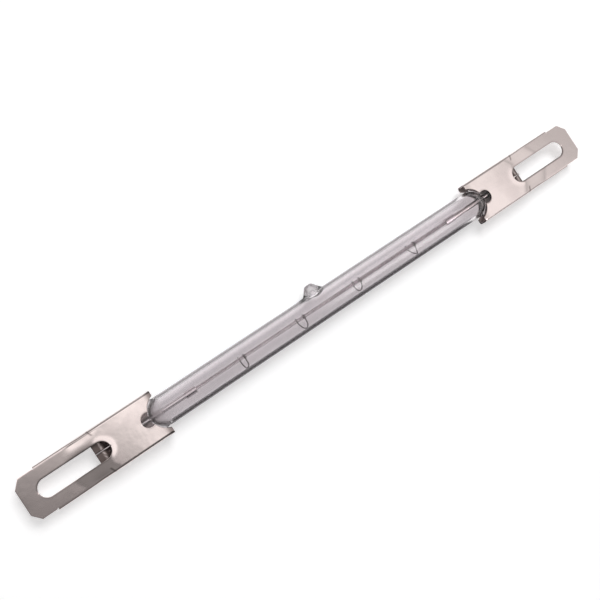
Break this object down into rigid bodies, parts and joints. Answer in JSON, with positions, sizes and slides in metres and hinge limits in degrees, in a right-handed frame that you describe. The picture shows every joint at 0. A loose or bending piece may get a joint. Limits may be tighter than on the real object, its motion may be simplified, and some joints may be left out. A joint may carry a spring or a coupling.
{
  "type": "quartz heating tube",
  "caption": "Clear sealed quartz tube with a tungsten coil on its axis, an exhaust tip, pinched ends and a folded sheet-metal cap with a long slot on each end.",
  "frame": {"origin": "on the tube's axis, half way between the two cap slots", "axes": "+X along the tube to the right cap, +Y across the caps to the side of the exhaust tip, +Z square to the cap faces, out of their smooth side"},
  "size_m": [0.22, 0.0155, 0.01],
  "materials": {
    "quartz": "clear quartz, fire polished",
    "tungsten_coil": "drawn tungsten wire, dull grey",
    "tungsten_sleeve": "dull grey",
    "tungsten_support": "thin drawn wire",
    "lead_wire": "drawn molybdenum wire",
    "foil": "thin molybdenum foil",
    "cap_nickel": "bright nickel-plated sheet, slightly wavy"
  },
  "bodies": {
    "root": {"quartz_tube": "quartz", "heating_coil": "tungsten_coil", "coil_sleeve_left": "tungsten_sleeve", "coil_sleeve_right": "tungsten_sleeve", "support_1": "tungsten_support", "support_2": "tungsten_support", "support_3": "tungsten_support", "support_4": "tungsten_support", "inner_lead_left": "lead_wire", "inner_lead_right": "lead_wire", "foil_left": "foil", "foil_right": "foil", "outer_lead_left": "lead_wire", "outer_lead_right": "lead_wire", "end_cap_left": "cap_nickel", "end_cap_right": "cap_nickel"}
  },
  "joints": []
}
